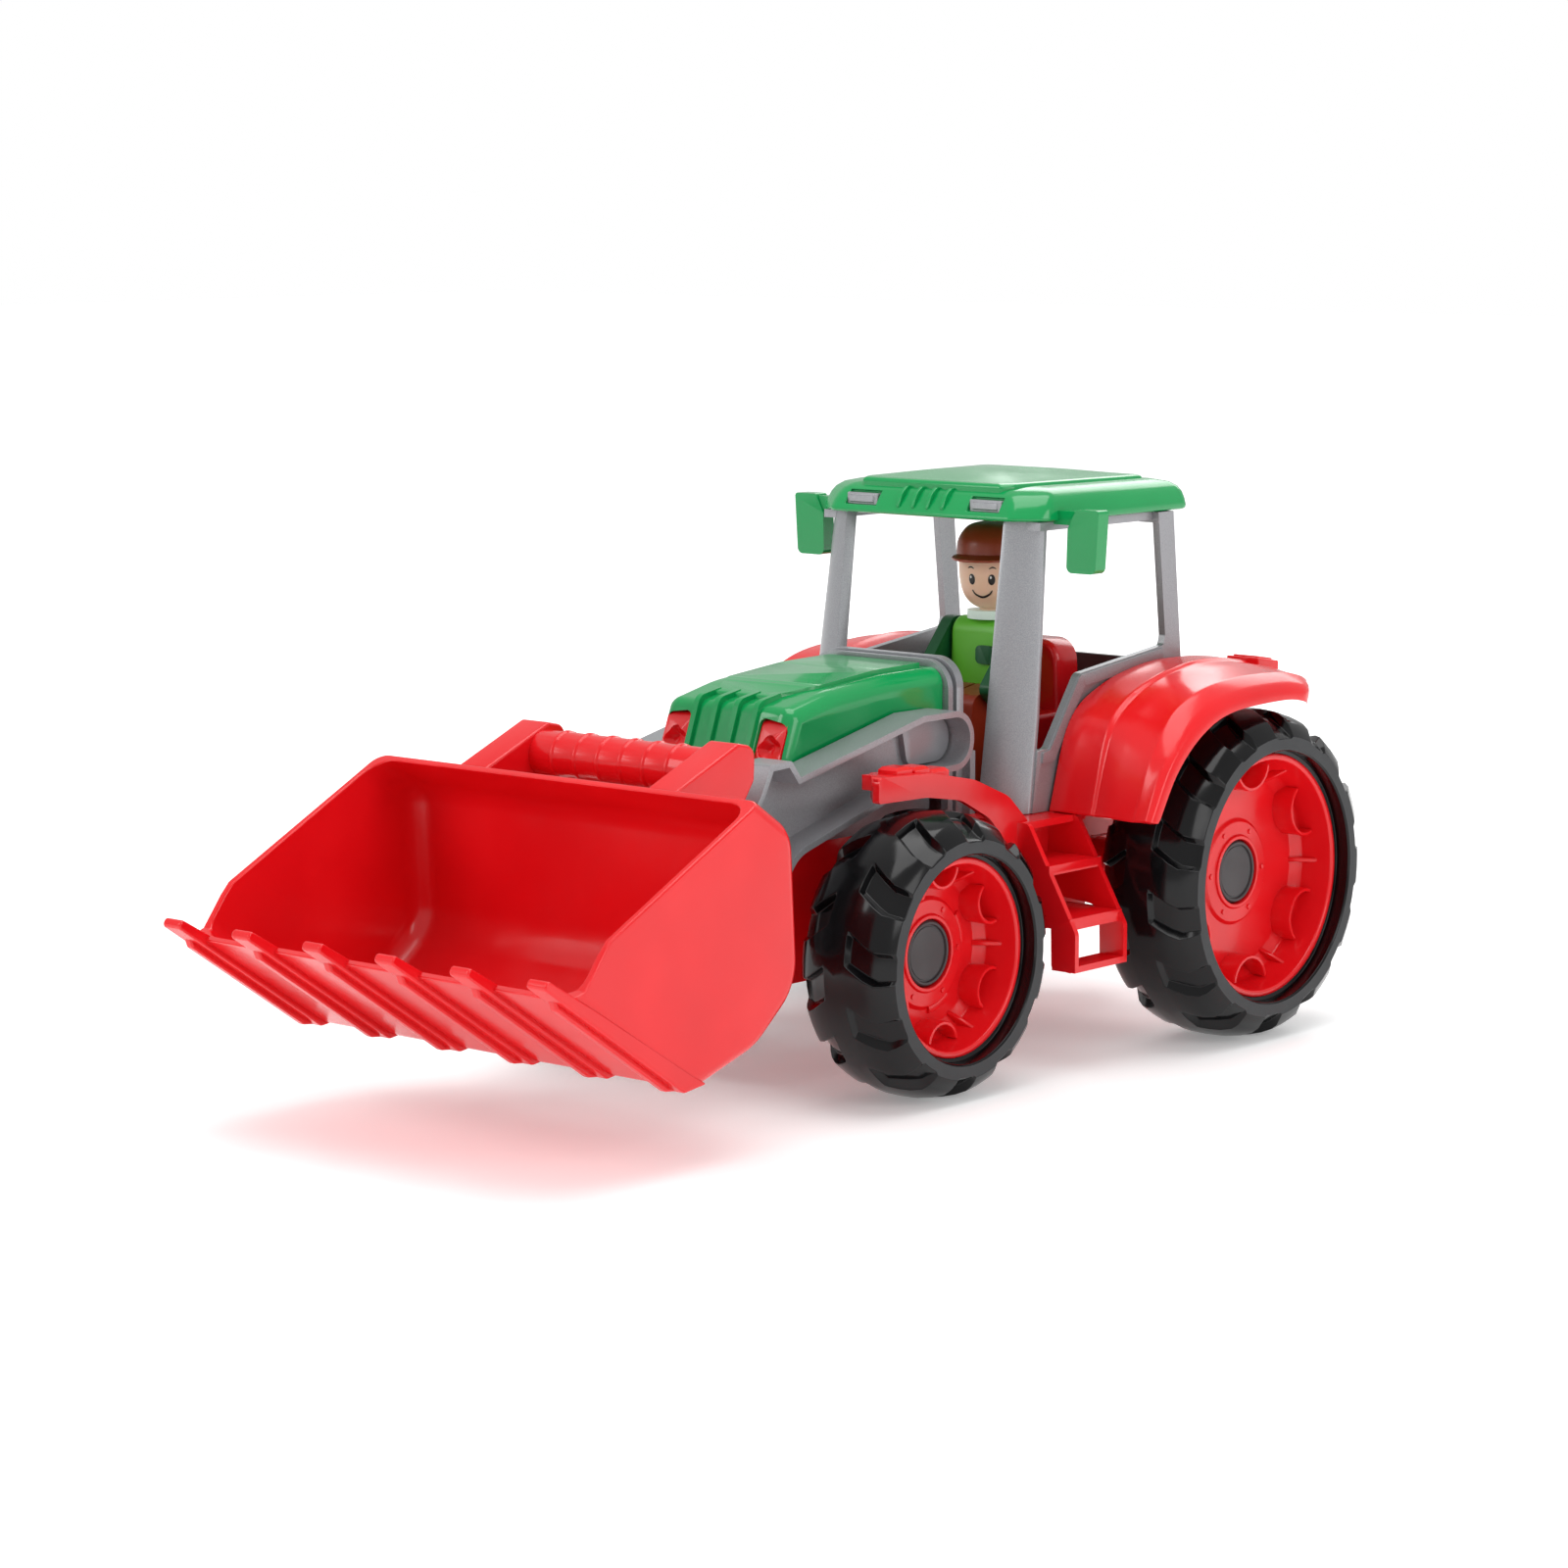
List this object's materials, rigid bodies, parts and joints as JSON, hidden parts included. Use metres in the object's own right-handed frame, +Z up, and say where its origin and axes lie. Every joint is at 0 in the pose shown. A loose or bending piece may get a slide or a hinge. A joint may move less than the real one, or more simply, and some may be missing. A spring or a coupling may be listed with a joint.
{
  "type": "toy front loader tractor",
  "caption": "Ride-in-hand toy farm tractor with a lifting loader frame, a tilting toothed bucket with a grip handle, an open cab with a driver, and lugged wheels.",
  "frame": {"origin": "on the ground under the middle of the toy's overall length and width", "axes": "+Z up, -Y towards the bucket (the toy's front), +X towards the driver's left"},
  "size_m": [0.176, 0.3519, 0.1715],
  "materials": {
    "tyre_black": "glossy black hard plastic",
    "silver_plastic": "silver-grey plastic with fine metallic flake",
    "dark_plastic": "satin dark grey plastic",
    "steel": "plain steel",
    "red_plastic": "glossy moulded red",
    "green_plastic": "glossy moulded green",
    "shirt_green": "satin light green",
    "trouser_brown": "satin rust brown",
    "collar_white": "satin off-white",
    "skin": "satin pale skin tone",
    "cap_brown": "satin brown",
    "sleeve_green": "satin dark green"
  },
  "bodies": {
    "tractor": {"chassis": "red_plastic", "front_axle_beam": "red_plastic", "rear_axle_beam": "red_plastic", "engine_frame": "silver_plastic", "nose": "red_plastic", "hood": "green_plastic", "cowl": "silver_plastic", "step_left": "red_plastic", "step_right": "red_plastic", "cab_side_left": "silver_plastic", "cab_side_right": "silver_plastic", "cab_tub": "dark_plastic", "seat": "red_plastic", "rear_fender_left": "red_plastic", "rear_fender_right": "red_plastic", "roof": "green_plastic", "roof_lamps": "silver_plastic", "mirror_left": "green_plastic", "mirror_right": "green_plastic", "front_axle": "steel", "rear_axle": "steel", "axle_retainers": "steel", "lift_pins": "silver_plastic", "driver_torso": "shirt_green", "driver_legs": "trouser_brown", "driver_collar": "collar_white", "driver_badge": "sleeve_green"},
    "loader_arms": {"loader_arm_left": "silver_plastic", "loader_arm_right": "silver_plastic", "loader_crossbar": "silver_plastic"},
    "bucket": {"bucket": "red_plastic", "handle_bracket_left": "red_plastic", "handle_bracket_right": "red_plastic", "handle_grip": "red_plastic", "tilt_pins": "silver_plastic"},
    "front_left_wheel": {"front_left_tyre": "tyre_black", "front_left_rim": "red_plastic", "front_left_cap": "dark_plastic"},
    "front_right_wheel": {"front_right_tyre": "tyre_black", "front_right_rim": "red_plastic", "front_right_cap": "dark_plastic"},
    "rear_left_wheel": {"rear_left_tyre": "tyre_black", "rear_left_rim": "red_plastic", "rear_left_cap": "dark_plastic"},
    "rear_right_wheel": {"rear_right_tyre": "tyre_black", "rear_right_rim": "red_plastic", "rear_right_cap": "dark_plastic"},
    "driver_head": {"driver_head": "skin", "driver_cap": "cap_brown"},
    "driver_arm_left": {"driver_arm_left": "sleeve_green"},
    "driver_arm_right": {"driver_arm_right": "sleeve_green"}
  },
  "joints": [
    {"name": "front_left_wheel_spin", "type": "hinge", "parent": "tractor", "child": "front_left_wheel", "pos_m": [0.056, -0.005, 0.041], "axis": [1, 0, 0], "continuous": true},
    {"name": "front_right_wheel_spin", "type": "hinge", "parent": "tractor", "child": "front_right_wheel", "pos_m": [-0.056, -0.005, 0.041], "axis": [1, 0, 0], "continuous": true},
    {"name": "rear_left_wheel_spin", "type": "hinge", "parent": "tractor", "child": "rear_left_wheel", "pos_m": [0.071, 0.125, 0.05], "axis": [1, 0, 0], "continuous": true},
    {"name": "rear_right_wheel_spin", "type": "hinge", "parent": "tractor", "child": "rear_right_wheel", "pos_m": [-0.071, 0.125, 0.05], "axis": [1, 0, 0], "continuous": true},
    {"name": "arm_lift", "type": "hinge", "parent": "tractor", "child": "loader_arms", "pos_m": [0, 0.031, 0.0962], "axis": [-1, 0, 0], "range_deg": [-8, 45]},
    {"name": "bucket_tilt", "type": "hinge", "parent": "loader_arms", "child": "bucket", "pos_m": [0, -0.068, 0.053], "axis": [1, 0, 0], "range_deg": [-6, 60]},
    {"name": "head_turn", "type": "hinge", "parent": "tractor", "child": "driver_head", "pos_m": [0, 0.096, 0.128], "axis": [0, 0, 1], "range_deg": [-60, 60]},
    {"name": "arm_swing_left", "type": "hinge", "parent": "tractor", "child": "driver_arm_left", "pos_m": [0.0133, 0.096, 0.1206], "axis": [1, 0, 0], "range_deg": [-40, 10]},
    {"name": "arm_swing_right", "type": "hinge", "parent": "tractor", "child": "driver_arm_right", "pos_m": [-0.0133, 0.096, 0.1206], "axis": [1, 0, 0], "range_deg": [-40, 10]}
  ]
}
